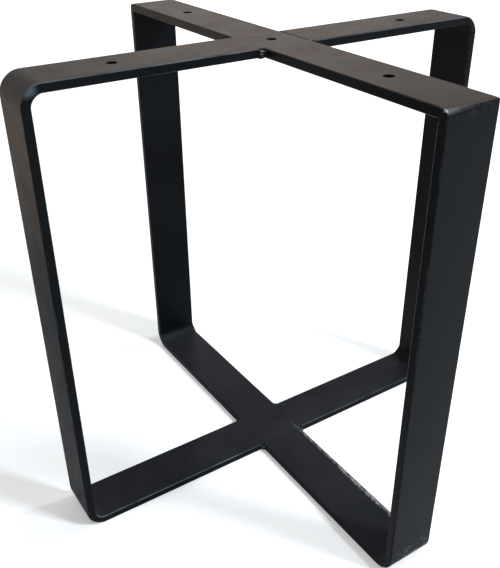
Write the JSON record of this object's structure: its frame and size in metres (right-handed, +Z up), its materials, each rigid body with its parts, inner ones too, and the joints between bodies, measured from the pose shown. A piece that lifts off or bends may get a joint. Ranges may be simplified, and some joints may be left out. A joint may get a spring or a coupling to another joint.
{
  "type": "coffee table base",
  "caption": "Crossed coffee table base of black painted flat bar: two rectangular loops, bent and welded at right angles to each other, with plain screw holes in the top.",
  "frame": {"origin": "middle of the crossing at floor level, under the centre screw hole", "axes": "+Z up, square to the table top; +Y along the unbroken loop; +X along the loop made of two halves"},
  "size_m": [0.465, 0.465, 0.44],
  "materials": {
    "painted_bar": "satin black paint, lightly scuffed",
    "painted_weld": "satin black paint over weld metal"
  },
  "bodies": {
    "root": {"loop_bar": "painted_bar", "loop_top_bar": "painted_bar", "left_half_bar": "painted_bar", "right_half_bar": "painted_bar", "weld_corner_front_outside": "painted_weld", "weld_corner_front_inside": "painted_weld", "weld_corner_back_outside": "painted_weld", "weld_corner_back_inside": "painted_weld", "weld_top_left_seam": "painted_weld", "weld_top_left_front": "painted_weld", "weld_top_left_back": "painted_weld", "weld_top_right_seam": "painted_weld", "weld_top_right_front": "painted_weld", "weld_top_right_back": "painted_weld", "weld_bottom_left_seam": "painted_weld", "weld_bottom_left_front": "painted_weld", "weld_bottom_left_back": "painted_weld", "weld_bottom_right_seam": "painted_weld", "weld_bottom_right_front": "painted_weld", "weld_bottom_right_back": "painted_weld"}
  },
  "joints": []
}
